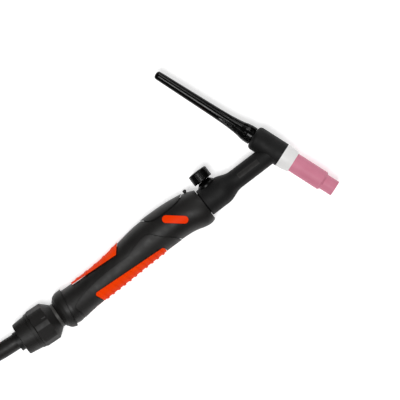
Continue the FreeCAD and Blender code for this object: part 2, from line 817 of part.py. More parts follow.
def make_screws():
    """Three pan-head screws from the far side, in one group."""
    pieces = []
    for i, (x, y) in enumerate(SCREWS):
        shank = pillar(f"shank_{i}", x, y, "screw_head_z", "screw_end_z", "boss_hole_r")
        head = pillar(f"head_{i}", x, y, "screw_head_z - 1.8", "screw_head_z", "screw_head_r")
        cross = pillar(f"drive_{i}", x, y, "screw_head_z - 3", "screw_head_z - 0.8", "1.1")
        pieces.append(cut(f"screw_{i}", fuse(f"screw_form_{i}", shank, head), cross))
    group = doc.addObject("Part::Compound", "screws")
    group.Links = pieces
    keep(group, "shell_screws")


# --- Neck and head -----------------------------------------------------------------------


def make_head():
    neck = turned("neck_form", "neck", [
        ("stub_rear", "0"), ("2", "0"), ("2", "neck_r"), ("neck_start", "neck_r"),
        ("valve_body_front", "valve_body_r"), ("valve_body_rear + 0.8", "valve_body_r"),
        ("valve_body_rear", "valve_body_r - 0.8"), ("valve_body_rear", "stub_r"),
        ("stub_rear", "stub_r"),
    ], [("valve_body_front", "valve_body_r", "18"), ("neck_start", "neck_r", "18")])
    head = turned("head_form", "head", [
        ("head_rear", "0"), ("head_front", "0"), ("head_front", "head_r"),
        ("head_rear", "head_r"),
    ], [("head_rear", "head_r", "head_round")])
    pad = common(
        "neck_pad",
        rod("pad_rod", "neck", "pad_rear", "pad_front", "neck_r + 0.35"),
        block("pad_block", "neck", ("pad_rear", "-1.7", "0"), ("pad_front", "3.3", "20")),
    )
    form = fuse("insulation_form", neck, head, pad)
    keep(cut(
        "insulation", form,
        rod("core_space", "head", "head_rear - 1", "head_front + 1", "core_r"),
        rod("core_arm_space", "neck", "-16", "0", "5.4"),
        rod("tube_space", "neck", "block_front - 1", "-15", "neck_tube_r"),
        rod("block_space", "neck", "stub_rear - 1", "block_front", "block_r"),
        rod("gland_space", "valve", "gland_seat", "20", "gland_r"),
        rod("gland_thread_space", "valve", "2", "12", "gland_thread_r"),
    ), "head_insulation")

    core = fuse(
        "core_form",
        rod("core_rod", "head", "core_rear", "core_front", "core_r"),
        rod("core_arm", "neck", "-16", "0", "5.4"),
    )
    keep(cut(
        "core", core,
        rod("cap_thread_space", "head", "core_rear - 1", "cap_thread_end + 0.6", "cap_thread_r + running"),
        rod("collet_space", "head", "cap_thread_end", "core_front", "collet_body_bore_r"),
        rod("collet_thread_space", "head", "collet_body_rear", "core_front + 1", "collet_body_thread_r"),
        rod("tube_socket", "neck", "-17", "-7", "neck_tube_r"),
        rod("gas_port", "neck", "-8", "-1", "neck_tube_bore_r - 1"),
    ), "head_core")
    tube = [
        ("block_front", "neck_tube_bore_r"), ("-7", "neck_tube_bore_r"),
        ("-7", "neck_tube_r"), ("block_front", "neck_tube_r"),
    ]
    keep(turned("neck_tube", "neck", tube), "neck_tube")

    valve_bore = rod("valve_block_bore", "valve", "0.6", "12", "gland_thread_r")
    keep(cut(
        "valve_block_cut",
        rod("valve_block_form", "neck", "block_rear", "block_front", "block_r"),
        rod("gas_bore", "neck", "block_rear - 1", "block_front + 1", "neck_tube_bore_r"),
        valve_bore,
    ), "valve_block")


def make_valve():
    keep(turned("valve_gland", "valve", [
        ("gland_low", "stem_r + running"), ("seal_low - 0.1", "stem_r + running"),
        ("seal_low - 0.1", "seal_r + 0.1"), ("seal_groove_end", "seal_r + 0.1"),
        ("seal_groove_end", "stem_r + running"), ("gland_top", "stem_r + running"),
        ("gland_top", "gland_top_r"), ("gland_top - 1.9", "7.3"), ("13.2", "8.4"),
        ("12", "gland_r"), ("gland_seat", "gland_r"), ("gland_seat", "gland_thread_r"),
        ("gland_low", "gland_thread_r"),
    ]), "valve_gland")
    keep(turned("valve_stem", "valve", [
        ("stem_tip", "0"), ("stem_top", "0"), ("stem_top", "stem_r"), ("3", "stem_r"),
        ("stem_tip", "0.5"),
    ]), "valve_stem")
    keep(turned("stem_seal", "valve", [
        ("seal_low", "stem_r + running"), ("seal_high", "stem_r + running"),
        ("seal_high", "seal_r"), ("seal_low", "seal_r"),
    ]), "stem_seal")
    knob = turned("valve_knob", "valve", [
        ("knob_low + 1.2", "stem_r"), ("stem_top", "stem_r"), ("stem_top", "0"),
        ("knob_top", "0"), ("knob_top - 0.3", "5"), ("knob_top - 0.9", "8"),
        ("knob_top - 1.6", "knob_r"), ("knob_low + 0.5", "knob_r"), ("knob_low", "knob_r - 0.4"),
        ("knob_low", "6.4"), ("knob_low + 1.2", "6.4"),
    ])
    cut_slots(knob, "knob_low - 1", "12", "knob_r - flute_depth", "flute_width", "flute_count")
    keep(knob, "valve_knob")


def make_inner_hose():
    keep(turned("inner_hose", "neck", [
        ("inner_hose_rear", "inner_hose_bore_r"), ("inner_hose_front", "inner_hose_bore_r"),
        ("inner_hose_front", "inner_hose_r"), ("inner_hose_rear", "inner_hose_r"),
    ]), "inner_hose")
    keep(turned("inner_ferrule", "neck", [
        ("inner_ferrule_rear", "inner_hose_r"), ("inner_hose_front - 1", "inner_hose_r"),
        ("inner_hose_front - 1", "inner_ferrule_r"), ("inner_ferrule_rear", "inner_ferrule_r"),
    ]), "hose_ferrule")
    hexagon = doc.addObject("Part::Prism", "connector_hexagon")
    place(hexagon, "neck")
    lean = Rotation(Vector(0, 0, 1), SIZES["neck_angle"]) * Rotation(Vector(0, 1, 0), 90)
    hexagon.setExpression("Placement.Rotation.Angle", None)
    hexagon.Placement = Placement(hexagon.Placement.Base, lean)
    hexagon.setExpression("Placement.Base.x", (
        "Sizes.shift_x + Sizes.junction_x + Sizes.connector_hex_rear"
        f" * cos({NECK_TURN})"
    ))
    hexagon.setExpression("Placement.Base.y", (
        "Sizes.shift_y + Sizes.junction_y + Sizes.connector_hex_rear"
        f" * sin({NECK_TURN})"
    ))
    hexagon.Polygon = 6
    hexagon.setExpression("Circumradius", "Sizes.connector_hex / 2 / cos(30 deg)")
    hexagon.setExpression("Height", "Sizes.connector_hex_front - Sizes.connector_hex_rear")
    form = fuse(
        "connector_form",
        rod("connector_barb", "neck", "barb_rear", "connector_hex_rear", "inner_hose_bore_r"),
        hexagon,
        rod("connector_thread", "neck", "connector_hex_front", "block_rear", "5"),
    )
    bore = rod("connector_bore", "neck", "barb_rear - 1", "block_rear + 1", "1.6")
    keep(cut("connector", form, bore), "hose_connector")


def make_torch_end():
    keep(turned("cup_gasket", "head", [
        ("head_front", "gasket_bore_r"), ("nozzle_seat", "gasket_bore_r"),
        ("nozzle_seat", "nozzle_r + running"), ("gasket_front", "nozzle_r + running"),
        ("gasket_front", "gasket_front_r"), ("15.5", "10.75"), ("11", "gasket_r"),
        ("head_front", "gasket_r"),
    ], [("15.5", "10.75", "8")]), "cup_gasket")
    keep(turned("nozzle", "head", [
        ("nozzle_rear", "nozzle_thread_r"), ("nozzle_thread_end", "nozzle_thread_r"),
        ("nozzle_thread_end", "nozzle_chamber_r"), ("nozzle_throat", "nozzle_chamber_r"),
        ("nozzle_tip_start", "nozzle_mouth_r"), ("nozzle_end", "nozzle_mouth_r"),
        ("nozzle_end", "nozzle_tip_r"), ("nozzle_tip_start", "nozzle_tip_r"),
        ("nozzle_step", "nozzle_r"), ("nozzle_rear", "nozzle_r"),
    ]), "nozzle")
    keep(turned("collet_body", "head", [
        ("collet_body_rear", "collet_body_bore_r"), ("35.8", "collet_body_bore_r"),
        ("collet_body_front", "collet_body_mouth_r"),
        ("collet_body_front", "collet_body_nose_r - 1"),
        ("collet_body_front - 1", "collet_body_nose_r"),
        ("nozzle_thread_end", "collet_body_nose_r"),
        ("nozzle_thread_end", "nozzle_thread_r - running"),
        ("head_front", "nozzle_thread_r - running"),
        ("head_front", "collet_body_thread_r"), ("collet_body_rear", "collet_body_thread_r"),
    ]), "collet_body")
    keep(turned("collet", "head", [
        ("collet_rear", "collet_bore_r"), ("collet_front + 1.4", "collet_bore_r"),
        ("collet_front + 1.4", "1.6"), ("collet_front", "collet_r"),
        ("collet_rear", "collet_r"),
    ]), "collet")
    keep(turned("electrode", "head", [
        ("electrode_rear", "0"), ("electrode_front", "0"),
        ("electrode_front", "electrode_point_r"),
        ("electrode_front - electrode_point", "electrode_r"),
        ("electrode_rear", "electrode_r"),
    ]), "electrode")


def make_back_cap():
    cap = turned("back_cap", "head", [
        ("cap_bore_end", "0"), ("cap_end", "0"), ("cap_end", "cap_end_r"),
        ("cap_tube", "cap_tube_r"), ("cap_flare", "cap_flare_r"),
        ("cap_shoulder_end", "cap_shoulder_r"), ("cap_collar_end", "cap_collar_r"),
        ("cap_face", "cap_collar_r"), ("cap_face", "cap_thread_r"),
        ("cap_thread_end", "cap_thread_r"), ("cap_thread_end", "cap_bore_r"),
        ("cap_bore_end", "cap_bore_r"),
    ], [("cap_end", "cap_end_r", "cap_round")])
    cut_slots(
        cap, "cap_collar_end + 0.2", "5", "cap_collar_r - cap_slot_depth",
        "cap_slot_width", "cap_slot_count",
    )
    keep(cap, "back_cap")
    keep(turned("cap_seal", "head", [
        ("cap_face + 0.05", "cap_thread_r + running"), ("cap_face + 1.15", "cap_thread_r + running"),
        ("cap_face + 1.15", "cap_seal_r"), ("cap_face + 0.05", "cap_seal_r"),
    ]), "cap_seal")


# --- Cable, coil and plug ----------------------------------------------------------------

# Points of the cable's route: X and Y from the torch's own origin, Z from the floor.
LEAD = [
    (-38.0, 1.0, 17.9), (-54.0, 1.0, 17.9), (-73.0, 1.9, 15.3), (-92.0, 4.9, 9.6),
    (-110.0, 7.1, 7.3), (-124.0, 7.25, 7.3),
]
TAIL = [
    (-107.9, 40.9, 36.3), (-135.9, 38.2, 39.0), (-162.4, 47.7, 45.5), (-182.3, 67.6, 52.5),
    (-191.8, 94.1, 57.0), (-189.1, 122.1, 58.2),
]


def cord_tube(label, route):
    """A round tube along straight runs joined by arcs as large as their runs allow."""
    radius = SIZES["cable_r"]
    points = [Vector(*p) for p in route]
    edges, start, length = [], points[0], 0.0
    for before, corner, after in zip(points, points[1:], points[2:]):
        back, on = (before - corner), (after - corner)
        reach = 0.45 * min(back.Length, on.Length)
        back.normalize()
        on.normalize()
        turn = math.pi - back.getAngle(on)
        bend = reach / math.tan(turn / 2)
        enter, leave = corner + back * reach, corner + on * reach
        inwards = (back + on).normalize()
        middle = corner + inwards * (bend / math.cos(turn / 2) - bend)
        edges.append(Part.LineSegment(start, enter).toShape())
        edges.append(Part.Arc(enter, middle, leave).toShape())
        length += (enter - start).Length + bend * turn
        print(f"{label}: bend radius {bend:.0f} mm")
        start = leave
    edges.append(Part.LineSegment(start, points[-1]).toShape())
    length += (points[-1] - start).Length
    direction = points[1] - points[0]
    ring = Part.Wire([Part.makeCircle(radius, points[0], direction)])
    shape = Part.Wire(edges).makePipeShell([ring], True, True)
    share = shape.Volume / (math.pi * radius**2 * length)
    print(f"{label}: {length:.0f} mm long, volume over section times length {share:.4f}")
    item = doc.addObject("Part::Feature", label)
    item.Shape = shape
    item.Placement = Placement(Vector(SIZES["shift_x"], SIZES["shift_y"], 0), Rotation())
    keep(item, label)


def make_cable():
    cord_tube("cable_lead", LEAD)
    cord_tube("cable_tail", TAIL)

    whole, middle = (doc.addObject("Part::Cylinder", n) for n in ("coil_disc", "coil_middle"))
    for item, radius, low, height in (
        (whole, "coil_outer_r", "0.05", "coil_height - 0.05"),
        (middle, "coil_inner_r", "-5", "coil_height + 10"),
    ):
        item.setExpression("Radius", linked(radius))
        item.setExpression("Height", linked(height))
        item.setExpression("Placement.Base.x", linked("shift_x + coil_x"))
        item.setExpression("Placement.Base.y", linked("shift_y + coil_y"))
        item.setExpression("Placement.Base.z", low)
    keep(cut("coil", whole, middle), "cable_coil")

    # A strap round the coil's bundle, on the side away from the torch.
    ring_middle = (value("coil_outer_r") + value("coil_inner_r")) / 2
    half = (value("coil_outer_r") - value("coil_inner_r")) / 2
    straps = []
    for name, grow, low, high in (
        ("tie_out", value("tie_wall"), 0.02, value("coil_height") + value("tie_wall")),
        ("tie_in", 0.05, value("tie_wall"), value("coil_height") + 0.05),
    ):
        box = doc.addObject("Part::Box", name)
        wide = value("tie_half_width") * (1 if name == "tie_out" else 2)
        box.Length = 2 * wide
        box.Width = 2 * (half + grow)
        box.Height = high - low
        box.setExpression("Placement.Base.x", linked(f"shift_x + coil_x - {wide}"))
        box.setExpression("Placement.Base.y", linked(f"shift_y + coil_y + {ring_middle - half - grow}"))
        box.setExpression("Placement.Base.z", str(low))
        straps.append(box)
    keep(cut("tie", *straps), "coil_tie")

    sleeve = turned("plug_sleeve_form", "plug", [
        ("0", "0"), ("22", "0"), ("22", "9"), ("62", "9"), ("62", "13.2"),
        ("58", "plug_r"), ("18", "plug_r"), ("14", "11"), ("0", "plug_rear_r"),
    ])
    hole = rod("nipple_hole", "nipple", "5", "20", "nipple_r + 0.4")
    keep(cut("plug_sleeve", sleeve, hole), "plug_sleeve")
    pin = turned("plug_pin_form", "plug", [
        ("22", "0"), ("85.5", "0"), ("85.5", "plug_pin_r - 1"), ("84.5", "plug_pin_r"),
        ("65.2", "plug_pin_r"), ("65.2", "plug_seat_r"), ("62.2", "plug_seat_r"),
        ("62.2", "9"), ("22", "9"),
    ])
    lug = block("plug_lug", "plug", ("80", "-1.9", "4"), ("83.5", "1.9", "8.2"))
    keep(fuse("plug_pin_whole", pin, lug), "plug_pin")
    keep(turned("gas_nipple", "nipple", [
        ("9", "1.6"), ("28", "1.6"), ("28", "2.6"), ("25.6", "nipple_r"), ("25.4", "3"),
        ("23", "nipple_r"), ("22.8", "3"), ("20.4", "nipple_r"), ("20.2", "3"), ("9", "3"),
    ]), "gas_nipple")


def main():
    make_cable_support()
    make_swivel_cup()
    make_head()
    make_valve()
    make_inner_hose()
    make_torch_end()
    make_back_cap()
    make_cable()
    make_handle()
    doc.recompute()
    for item in doc.Objects:
        bad = {"Invalid", "Error"} & set(item.State)
        assert not bad, f"{item.Name}: {item.State}"
    for label, item in parts.items():
        shape = item.Shape
        assert not shape.isNull() and shape.isValid(), label
        assert shape.Volume > 0 and shape.Solids, label
    os.makedirs("parts", exist_ok=True)
    for label, item in parts.items():
        # The two pieces with an offset curve for an outline are written as splines.
        shape = item.Shape.toNurbs() if label in ("lower_panel", "blank_cover") else item.Shape
        shape.exportStep(f"parts/{label}.step")


main()
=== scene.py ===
import bmesh
import bpy
import json
import math
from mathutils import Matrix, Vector


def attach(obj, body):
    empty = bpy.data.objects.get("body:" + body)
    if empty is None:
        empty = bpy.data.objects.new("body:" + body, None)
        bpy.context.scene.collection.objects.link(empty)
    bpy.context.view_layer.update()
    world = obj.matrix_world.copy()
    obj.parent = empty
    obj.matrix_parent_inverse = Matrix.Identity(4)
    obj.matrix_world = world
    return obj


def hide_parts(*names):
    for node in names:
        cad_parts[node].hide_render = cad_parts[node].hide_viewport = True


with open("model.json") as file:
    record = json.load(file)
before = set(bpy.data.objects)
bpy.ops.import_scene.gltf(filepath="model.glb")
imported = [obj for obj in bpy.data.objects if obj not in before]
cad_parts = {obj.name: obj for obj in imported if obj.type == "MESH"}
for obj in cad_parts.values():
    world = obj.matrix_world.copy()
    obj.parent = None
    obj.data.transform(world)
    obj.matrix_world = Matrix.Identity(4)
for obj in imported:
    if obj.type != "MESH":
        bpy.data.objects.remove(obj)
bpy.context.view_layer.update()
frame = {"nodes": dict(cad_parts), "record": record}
nodes = frame["nodes"]

MM = 0.001

# Lengths are in millimetres in the torch's design frame, whose X runs along the cable support.
# The row frame is that frame moved by SHIFT_X and SHIFT_Y.
SHIFT_X, SHIFT_Y = -107.52, -40.56
LIE_HEIGHT = 17.9
NECK_ANGLE = math.radians(3.4)
HEAD_ANGLE = math.radians(3.4 - 70.0)
JUNCTION = (232.6, 13.9)
VALVE_ALONG = 65.9


def spot(x, y, z=LIE_HEIGHT):
    """A point of the design frame, in metres in the row frame."""
    return Vector(((SHIFT_X + x) * MM, (SHIFT_Y + y) * MM, z * MM))


# --- Camera --------------------------------------------------------------------------

VIEW_TURN = math.radians(-34.0)
VIEW_WIDTH, VIEW_DISTANCE, SENSOR = 0.352, 3.3, 36.0
VIEW_CENTRE = (153.8, 13.87)

eye = bpy.data.cameras.new("camera")
eye.sensor_width = SENSOR
eye.lens = SENSOR * VIEW_DISTANCE / VIEW_WIDTH
eye.clip_end = 20
camera = bpy.data.objects.new("camera", eye)
bpy.context.scene.collection.objects.link(camera)
camera.location = spot(*VIEW_CENTRE) + Vector((0, 0, VIEW_DISTANCE))
camera.rotation_euler = (0, 0, VIEW_TURN)
bpy.context.scene.camera = camera


# --- Materials -----------------------------------------------------------------------


def srgb(red, green, blue):
    """A screen colour from 0 to 255 as a linear colour."""
    def linear(c):
        c /= 255
        return c / 12.92 if c <= 0.04045 else ((c + 0.055) / 1.055) ** 2.4

    return linear(red), linear(green), linear(blue), 1.0


class Finish:
    """A material whose colour, roughness and relief come from noise in the piece's own space."""

    def __init__(self, name, rough, specular=0.5, metallic=0.0):
        self.material = bpy.data.materials.new(name)
        self.material.use_nodes = True
        self.tree = self.material.node_tree
        self.shader = self.tree.nodes["Principled BSDF"]
        self.shader.inputs["Roughness"].default_value = rough
        self.shader.inputs["Specular IOR Level"].default_value = specular
        self.shader.inputs["Metallic"].default_value = metallic
        self.place = self.add("ShaderNodeTexCoord").outputs["Object"]
        self.height = None

    def add(self, kind, **settings):
        made = self.tree.nodes.new(kind)
        for name, setting in settings.items():
            setattr(made, name, setting)
        return made

    def link(self, source, target):
        self.tree.links.new(source, target)

    def noise(self, per_metre, detail=3.0, stretch=(1, 1, 1)):
        """Noise from 0 to 1, with that many blotches to a metre."""
        space = self.add("ShaderNodeMapping")
        space.inputs["Scale"].default_value = stretch
        self.link(self.place, space.inputs["Vector"])
        made = self.add("ShaderNodeTexNoise")
        made.inputs["Scale"].default_value = per_metre
        made.inputs["Detail"].default_value = detail
        made.inputs["Roughness"].default_value = 0.55
        self.link(space.outputs["Vector"], made.inputs["Vector"])
        return made.outputs["Fac"]

    def ramp(self, source, stops):
        made = self.add("ShaderNodeValToRGB")
        elements = made.color_ramp.elements
        while len(elements) < len(stops):
            elements.new(0.5)
        for element, (at, colour) in zip(elements, stops):
            element.position = at
            element.color = colour
        self.link(source, made.inputs["Fac"])
        return made.outputs["Color"]

    def colours(self, source, first, second, low=0.3, high=0.7):
        self.link(self.ramp(source, [(low, first), (high, second)]), self.shader.inputs["Base Color"])

    def roughness(self, source, first, second, low=0.3, high=0.7):
        spread = self.add("ShaderNodeMapRange")
        for socket, number in zip(
            ("From Min", "From Max", "To Min", "To Max"), (low, high, first, second)
        ):
            spread.inputs[socket].default_value = number
        self.link(source, spread.inputs["Value"])
        self.link(spread.outputs["Result"], self.shader.inputs["Roughness"])

    def relief(self, source, depth):
        """Relief of that depth in metres, on top of any relief that is already there."""
        bump = self.add("ShaderNodeBump")
        bump.inputs["Strength"].default_value = 1.0
        bump.inputs["Distance"].default_value = depth
        self.link(source, bump.inputs["Height"])
        if self.height is not None:
            self.link(self.height, bump.inputs["Normal"])
        self.height = bump.outputs["Normal"]
        self.link(self.height, self.shader.inputs["Normal"])


def moulded(name, dark, light, rough, specular, grain=0.00004):
    """Moulded plastic or rubber: a fine grain, faint flow marks and slightly uneven gloss."""
    made = Finish(name, rough, specular)
    made.colours(made.noise(45), dark, light)
    made.roughness(made.noise(160, 4), rough - 0.05, rough + 0.07)
    made.relief(made.noise(2600, 2), grain)
    made.relief(made.noise(220, 2), grain * 0.6)
    return made


SMOOTH_GRAIN = 0.00001

handle_plastic = moulded("handle_plastic", srgb(19, 18, 17), srgb(26, 25, 24), 0.46, specular=0.28).material
# Painted light: panel_plastic is a paler grey than handle_plastic, standing in for the light that the lower
# panel catches where its surface faces the lamps.
panel_plastic = moulded("panel_plastic", srgb(27, 26, 25), srgb(34, 33, 32), 0.5, specular=0.28).material
support_plastic = moulded("support_plastic", srgb(20, 19, 18), srgb(27, 26, 25), 0.5, specular=0.28).material
sleeve_plastic = moulded("sleeve_plastic", srgb(56, 55, 53), srgb(66, 65, 63), 0.5, specular=0.3).material
head_rubber = moulded("head_rubber", srgb(13, 13, 13), srgb(20, 20, 20), 0.6, specular=0.22).material
knob_plastic = moulded("knob_plastic", srgb(1, 1, 1), srgb(4, 4, 4), 0.26, specular=0.18).material
seal_rubber = moulded("seal_rubber", srgb(12, 12, 12), srgb(18, 18, 18), 0.5, specular=0.3).material
cap_plastic = moulded(
    "cap_plastic", srgb(1, 1, 1), srgb(3, 3, 3), 0.16, specular=0.17, grain=SMOOTH_GRAIN
).material
grip_rubber = moulded("grip_rubber", srgb(241, 58, 0), srgb(248, 68, 0), 0.55, specular=0.06).material
badge_plastic = moulded(
    "badge_plastic", srgb(240, 54, 0), srgb(246, 62, 0), 0.45, specular=0.06, grain=SMOOTH_GRAIN
).material
gasket_plastic = moulded(
    "gasket_plastic", srgb(233, 232, 231), srgb(240, 239, 238), 0.38, specular=0.25
).material


def alumina():
    """Unglazed pink alumina: a fine grain with slightly uneven tone and gloss."""
    made = Finish("nozzle_ceramic", 0.55, 0.2)
    made.colours(made.noise(90, 5), srgb(207, 124, 146), srgb(214, 133, 155))
    made.roughness(made.noise(400, 4), 0.42, 0.56)
    made.relief(made.noise(3200, 3), 0.00003)
    return made.material


def cable_skin():
    """Smooth cable rubber with dust in faint streaks."""
    made = Finish("cable_rubber", 0.5, 0.28)
    made.colours(made.noise(120, 4), srgb(22, 21, 20), srgb(31, 30, 29))
    made.roughness(made.noise(300, 4), 0.42, 0.58)
    made.relief(made.noise(1600, 3), 0.00005)
    return made.material


def metal(name, first, second, rough):
    """Turned metal: fine tool marks and uneven tarnish."""
    made = Finish(name, rough, metallic=1.0)
    made.colours(made.noise(130, 5), first, second)
    made.roughness(made.noise(500, 4), rough - 0.06, rough + 0.1)
    made.relief(made.noise(900, 2, (1, 1, 8)), 0.00002)
    return made.material


def weave():
    """Woven strap: crossed threads with a soft sheen."""
    made = Finish("strap_fabric", 0.85, 0.2)
    made.shader.inputs["Sheen Weight"].default_value = 0.3
    made.colours(made.noise(700, 3), srgb(22, 22, 23), srgb(40, 40, 42))
    threads = []
    for turn in (0.7, -0.7):
        space = made.add("ShaderNodeMapping")
        space.inputs["Rotation"].default_value = (turn, turn, turn)
        made.link(made.place, space.inputs["Vector"])
        wave = made.add("ShaderNodeTexWave")
        wave.inputs["Scale"].default_value = 420
        wave.inputs["Distortion"].default_value = 0.4
        made.link(space.outputs["Vector"], wave.inputs["Vector"])
        threads.append(wave.outputs["Fac"])
    crossed = made.add("ShaderNodeMath", operation="MAXIMUM")
    made.link(threads[0], crossed.inputs[0])
    made.link(threads[1], crossed.inputs[1])
    made.relief(crossed.outputs[0], 0.0003)
    return made.material


nozzle_ceramic = alumina()
cable_rubber = cable_skin()
strap_fabric = weave()
brass = metal("brass", srgb(190, 150, 82), srgb(206, 170, 100), 0.3)
copper = metal("copper", srgb(196, 128, 96), srgb(184, 112, 84), 0.35)
tungsten = metal("tungsten", srgb(150, 150, 152), srgb(176, 176, 180), 0.35)
steel = metal("steel", srgb(170, 170, 172), srgb(190, 190, 192), 0.3)

FINISHES = {
    "handle_plastic": handle_plastic, "panel_plastic": panel_plastic,
    "support_plastic": support_plastic, "grip_rubber": grip_rubber,
    "badge_plastic": badge_plastic, "head_rubber": head_rubber,
    "knob_plastic": knob_plastic, "cap_plastic": cap_plastic,
    "gasket_plastic": gasket_plastic, "nozzle_ceramic": nozzle_ceramic,
    "brass": brass, "copper": copper, "tungsten": tungsten, "steel": steel,
    "cable_rubber": cable_rubber, "seal_rubber": seal_rubber, "strap_fabric": strap_fabric,
}


def dress(piece, material):
    """Give a whole piece one material."""
    piece.data.materials.clear()
    piece.data.materials.append(material)


slots = {row["node"]: row["material_slot"] for row in frame["record"]["subparts"]}
for name, node in nodes.items():
    dress(node, FINISHES[slots[name]])
dress(nodes["swivel_sleeve"], sleeve_plastic)


# --- Building helpers ----------------------------------------------------------------


def mesh_piece(name, form, material, body, slot, *stands_for):
    """Turns a bmesh into a piece that rides on a body."""
    mesh = bpy.data.meshes.new(name)
    bmesh.ops.recalc_face_normals(form, faces=form.faces)
    form.to_mesh(mesh)
    form.free()
    for face in mesh.polygons:
        face.use_smooth = True
    mesh.set_sharp_from_angle(angle=math.radians(38))
    piece = bpy.data.objects.new(name, mesh)
    bpy.context.scene.collection.objects.link(piece)
    dress(piece, material)
    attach(piece, body)
    if stands_for:
        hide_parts(*stands_for)
    return piece


def lathe(stations, origin, angle, around, carve=None):
    """A closed form about an axis in the torch's plane, from (length, radius) in millimetres.

    carve(length, radius, turn) gives the depth of the surface's relief, and turn 0 faces up.
    """
    form = bmesh.new()
    along = Vector((math.cos(angle), math.sin(angle), 0))
    side = Vector((-math.sin(angle), math.cos(angle), 0))
    up = Vector((0, 0, 1))
    rings = []
    for length, radius in stations:
        if radius == 0:
            rings.append([form.verts.new(origin + along * length * MM)])
            continue
        ring = []
        for step in range(around):
            turn = 2 * math.pi * step / around
            out = up * math.cos(turn) + side * math.sin(turn)
            depth = carve(length, radius, turn) if carve else 0
            ring.append(form.verts.new(origin + (along * length + out * (radius - depth)) * MM))
        rings.append(ring)
    for near, far in zip(rings, rings[1:]):
        for step in range(around):
            after = (step + 1) % around
            corners = [near[step % len(near)], near[after % len(near)],
                       far[after % len(far)], far[step % len(far)]]
            form.faces.new(list(dict.fromkeys(corners)))
    return form


def between(stations, longest):
    """The same outline with points added so that no step along it is longer than that."""
    out = [stations[0]]
    for (a, r), (b, q) in zip(stations, stations[1:]):
        steps = max(1, math.ceil(abs(b - a) / longest))
        out += [(a + (b - a) * i / steps, r + (q - r) * i / steps) for i in range(1, steps + 1)]
    return out


def ease(x):
    """0 below 0, 1 above 1, and smooth between."""
    x = min(max(x, 0.0), 1.0)
    return x * x * (3 - 2 * x)


def off_line(turn, line, count):
    """How far a turn is from the nearest of evenly spaced lines, in degrees."""
    pitch = 360 / count
    away = (math.degrees(turn) - line) % pitch
    return min(away, pitch - away)


def groove(away, half_width, soft=1.5):
    """1 in a groove of that half width in degrees and 0 outside it."""
    return 1 - ease((away - half_width) / soft + 0.5)


# --- Back cap ------------------------------------------------------------------------

CAP_RIBS, CAP_FIRST_SLOT, CAP_LINE_ANGLE = 5, 42.0, 17.5
CAP_FACE, CAP_SHOULDER = -22.5, -28.3
CAP_COLLAR, CAP_FLUTE_END, CAP_FADE = (-27.9, -22.9), -64.0, 22.0
SLOT_DEPTH, SLOT_HALF = 1.45, 7.5
LINE_DEPTH, LINE_HALF = 0.7, 2.2
FLUTE_DEPTH, FLUTE_HALF = 1.15, 15.0
FLUTE_LINE_DEPTH, FLUTE_LINE_HALF = 0.25, 1.5


def cap_relief(length, radius, turn):
    """Ribs and slots round the collar, and flutes that run out along the tube."""
    if length > CAP_FACE or radius < 3:
        return 0.0
    slot = off_line(turn, CAP_FIRST_SLOT, CAP_RIBS)
    beside = abs(slot - CAP_LINE_ANGLE)
    if length > CAP_SHOULDER:
        ends = ease((length - CAP_COLLAR[0]) / 0.5 + 0.5) * ease((CAP_COLLAR[1] - length) / 0.5 + 0.5)
        return ends * (SLOT_DEPTH * groove(slot, SLOT_HALF) + LINE_DEPTH * groove(beside, LINE_HALF))
    fade = ease((length - CAP_FLUTE_END) / CAP_FADE)
    start = ease((CAP_SHOULDER - length) / 2.5)
    flute = FLUTE_DEPTH * (1 - ease(slot / FLUTE_HALF))
    return fade * start * (flute + FLUTE_LINE_DEPTH * groove(beside, FLUTE_LINE_HALF, 3))


cap_outline = [
    (-119.6, 0), (-119.6, 1.9), (-12.0, 1.9), (-12.0, 5.9), (-22.2, 5.9), (-22.2, 7.7),
    (-22.3, 8.0), (-22.6, 8.2), (-27.8, 8.2), (-28.3, 8.05), (-31.0, 7.75), (-34.7, 6.8),
    (-40.0, 6.1), (-47.0, 5.45), (-54.0, 5.12), (-62.0, 4.9), (-121.0, 3.92), (-122.2, 3.72),
    (-123.1, 3.2), (-123.7, 2.3), (-124.0, 1.1), (-124.0, 0),
]
head_origin = spot(*JUNCTION)
mesh_piece(
    "screw_cap", lathe(between(cap_outline, 0.7), head_origin, HEAD_ANGLE, 360, cap_relief),
    cap_plastic, "cap", "cap_plastic", "back_cap",
)

# --- Valve knob ----------------------------------------------------------------------

KNOB_FLUTES, KNOB_DEEP = 30, 6
FINE_DEPTH, FINE_HALF, FINE_FIRST = 0.4, 2.4, 13.0
DEEP_DEPTH, DEEP_HALF, DEEP_FIRST = 0.6, 4.0, 25.0
KNOB_TOP_EDGE = 25.9


def knob_relief(length, radius, turn):
    """Fine flutes round the knob, with a few deeper ones."""
    if radius < 7:
        return 0.0
    ends = ease((KNOB_TOP_EDGE - length) / 0.8)
    fine = groove(off_line(turn, FINE_FIRST, KNOB_FLUTES), FINE_HALF)
    deep = groove(off_line(turn, DEEP_FIRST, KNOB_DEEP), DEEP_HALF)
    return ends * (FINE_DEPTH * fine + DEEP_DEPTH * deep)


knob_outline = [
    (25.2, 0), (25.2, 2.0), (16.3, 2.0), (16.3, 5.9), (16.6, 6.3), (16.6, 8.5), (16.8, 8.85),
    (17.2, 9.0), (24.9, 9.0), (25.6, 8.9), (26.1, 8.55), (26.4, 7.9), (26.65, 6.0), (26.8, 3.0),
    (26.8, 0),
]
valve_origin = spot(
    JUNCTION[0] - VALVE_ALONG * math.cos(NECK_ANGLE),
    JUNCTION[1] - VALVE_ALONG * math.sin(NECK_ANGLE),
)
mesh_piece(
    "fluted_knob",
    lathe(between(knob_outline, 0.8), valve_origin, NECK_ANGLE + math.pi / 2, 360, knob_relief),
    knob_plastic, "valve", "knob_plastic", "valve_knob",
)

# --- Neck pad ------------------------------------------------------------------------

NECK_R, PAD_RISE, PAD_THICK = 8.93, 0.6, 1.2
PAD_RIB_DEPTH, PAD_COLUMNS, PAD_ROWS = 0.15, 120, 8
PAD_ENDS, PAD_SIDES = (-39.6, -17.4), (-1.5, 3.1)


